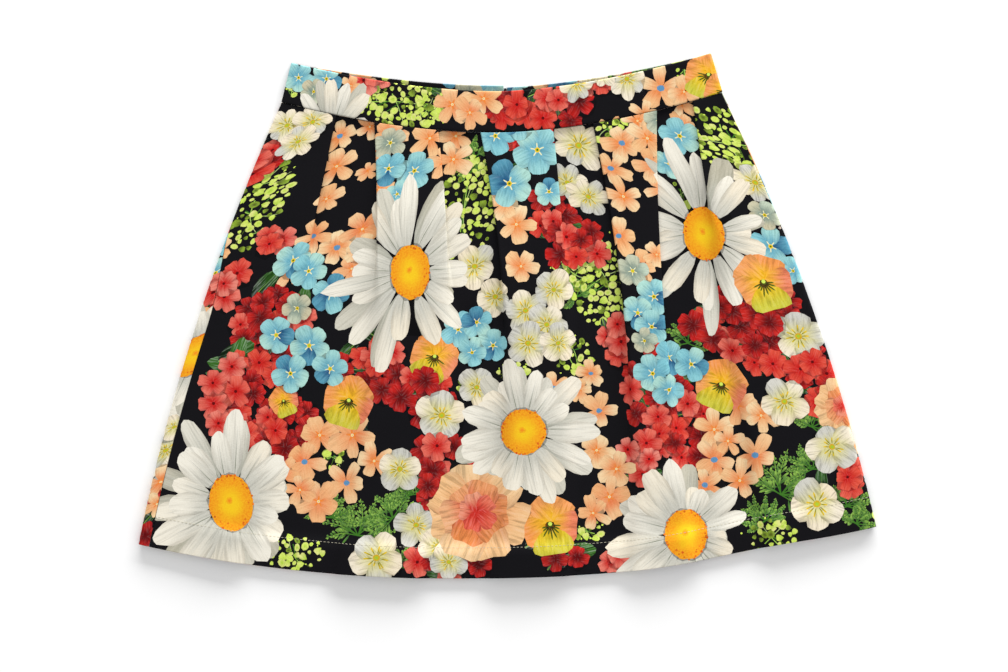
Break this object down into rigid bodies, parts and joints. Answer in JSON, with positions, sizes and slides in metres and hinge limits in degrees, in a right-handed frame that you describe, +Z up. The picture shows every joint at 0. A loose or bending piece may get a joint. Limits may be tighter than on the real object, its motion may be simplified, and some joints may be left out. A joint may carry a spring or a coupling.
{
  "type": "a-line skirt",
  "caption": "Short a-line skirt in a floral print on a black ground, with inverted pleats from a shaped waistband and a concealed back zip, lying flat",
  "frame": {"origin": "under the middle of the skirt's box, on the surface that it lies on", "axes": "+X across the skirt to the viewer's right, +Y from hem to waist, +Z up out of the front; the back lies on the surface"},
  "size_m": [0.6336, 0.4464, 0.01],
  "materials": {
    "print_cloth": "smooth printed sateen with a soft sheen, flowers on a near-black ground",
    "band_cloth": "the same printed sateen, two layers pressed flat",
    "zip_coil": "black nylon coil"
  },
  "bodies": {
    "root": {"skirt_front": "print_cloth", "skirt_back_left": "print_cloth", "skirt_back_right": "print_cloth", "waistband_front": "band_cloth", "waistband_back_left": "band_cloth", "waistband_back_right": "band_cloth", "zip": "zip_coil"}
  },
  "joints": []
}
